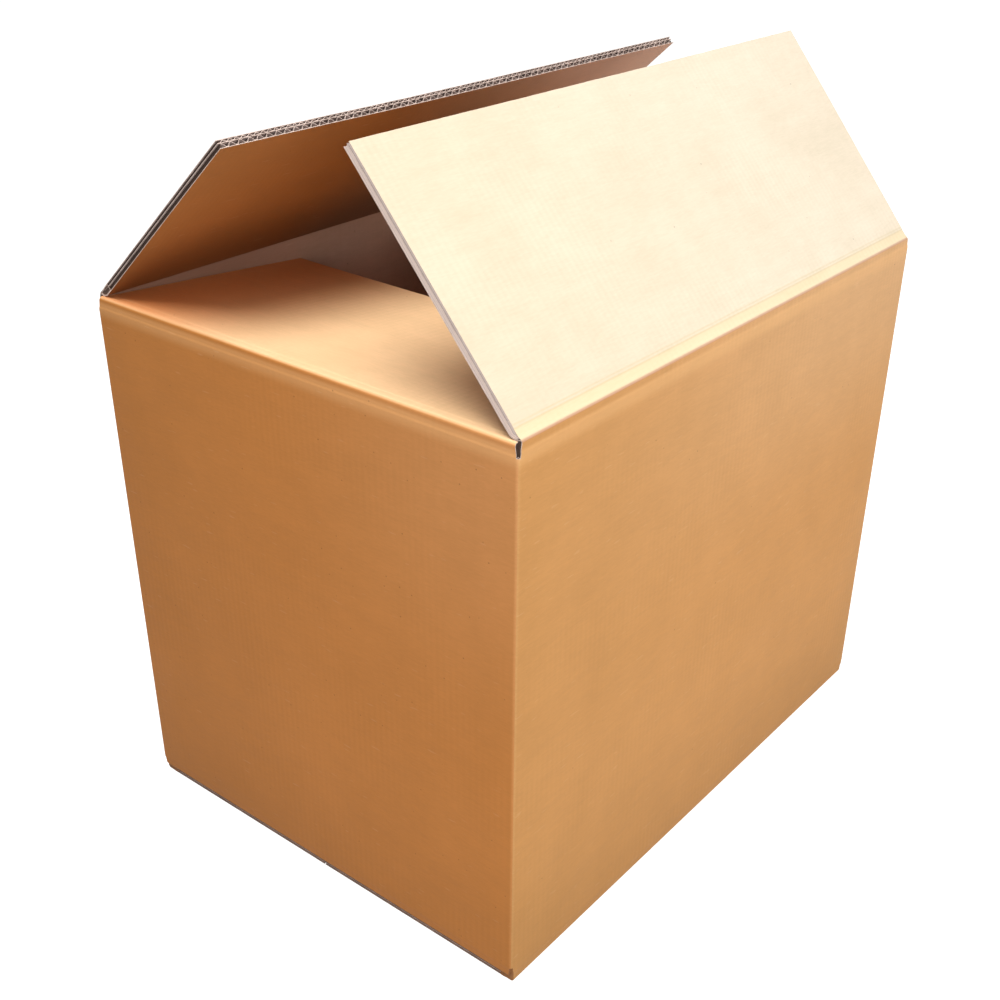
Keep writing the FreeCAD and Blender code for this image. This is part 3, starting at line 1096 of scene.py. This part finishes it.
def stageFloor():
    shape = bmesh.new()
    bmesh.ops.create_grid(shape, x_segments=1, y_segments=1, size=studio["floorSize"])
    mesh = bpy.data.meshes.new("floor")
    shape.to_mesh(mesh)
    shape.free()
    made = bpy.data.objects.new("floor", mesh)
    bpy.context.scene.collection.objects.link(made)
    finish = Finish("pale_floor")
    finish.shader.inputs["Base Color"].default_value = studio["floorTone"]
    finish.shader.inputs["Roughness"].default_value = 0.9
    finish.shader.inputs["Specular IOR Level"].default_value = 0.1
    lift = finish.seenBy("Camera", "Glossy", "Transmission") * studio["floorLift"]
    glow = finish.node("Emission", Color=(1, 1, 1, 1), Strength=lift)
    both = finish.node("AddShader", i0=finish.shader.outputs[0], i1=glow.outputs[0])
    finish.tree.links.new(both.outputs[0], finish.tree.nodes["Material Output"].inputs["Surface"])
    mesh.materials.append(finish.material)


def whiteWorld():
    # White to the camera, and a plain level of light to the carton
    world = bpy.data.worlds.new("studio_world")
    world.use_nodes = True
    bpy.context.scene.world = world
    nodes = Nodes(world.node_tree)
    background = nodes.tree.nodes["Background"]
    level = nodes.node("MapRange", i0=nodes.seenBy("Camera", "Glossy"), i3=studio["worldLight"], i4=1.0)
    nodes.feed(background.inputs["Strength"], level.outputs[0])
    nodes.feed(background.inputs["Color"], (1, 1, 1, 1))


# The viewpoint, worked out from the carton's own corners in the 1000 x 1000 picture
shot = {
    "from": Vector((-0.9343, -0.7223, 0.8819)),
    "aim": Vector((0.0, 0.01804, 0.19057)),
    "roll": 0.706,
    "pictureSide": 1000.0,
    "focal": 1357.98,                    # in picture elements
    "centre": (511.17, 557.98),          # where the axis of the lens meets the picture
    "sensor": 36.0,
    "near": 0.05,
    "far": 50.0,
}


def photoCamera():
    side = shot["pictureSide"]
    lens = bpy.data.cameras.new("camera")
    lens.sensor_width = shot["sensor"]
    lens.lens = shot["focal"] * shot["sensor"] / side
    lens.shift_x = (side / 2 - shot["centre"][0]) / side
    lens.shift_y = (shot["centre"][1] - side / 2) / side
    lens.clip_start = shot["near"]
    lens.clip_end = shot["far"]
    made = bpy.data.objects.new("camera", lens)
    bpy.context.scene.collection.objects.link(made)
    made.location = shot["from"]
    turned = (shot["from"] - shot["aim"]).to_track_quat("Z", "Y").to_matrix().to_4x4()
    turned = turned @ Matrix.Rotation(math.radians(shot["roll"]), 4, "Z")
    made.rotation_mode = "QUATERNION"
    made.rotation_quaternion = turned.to_quaternion()
    bpy.context.scene.camera = made


stageFloor()
whiteWorld()
for name, look in studio["lamps"].items():
    softLight(name, look)
photoCamera()
bpy.context.scene.view_settings.view_transform = "Standard"
print("light and camera done")
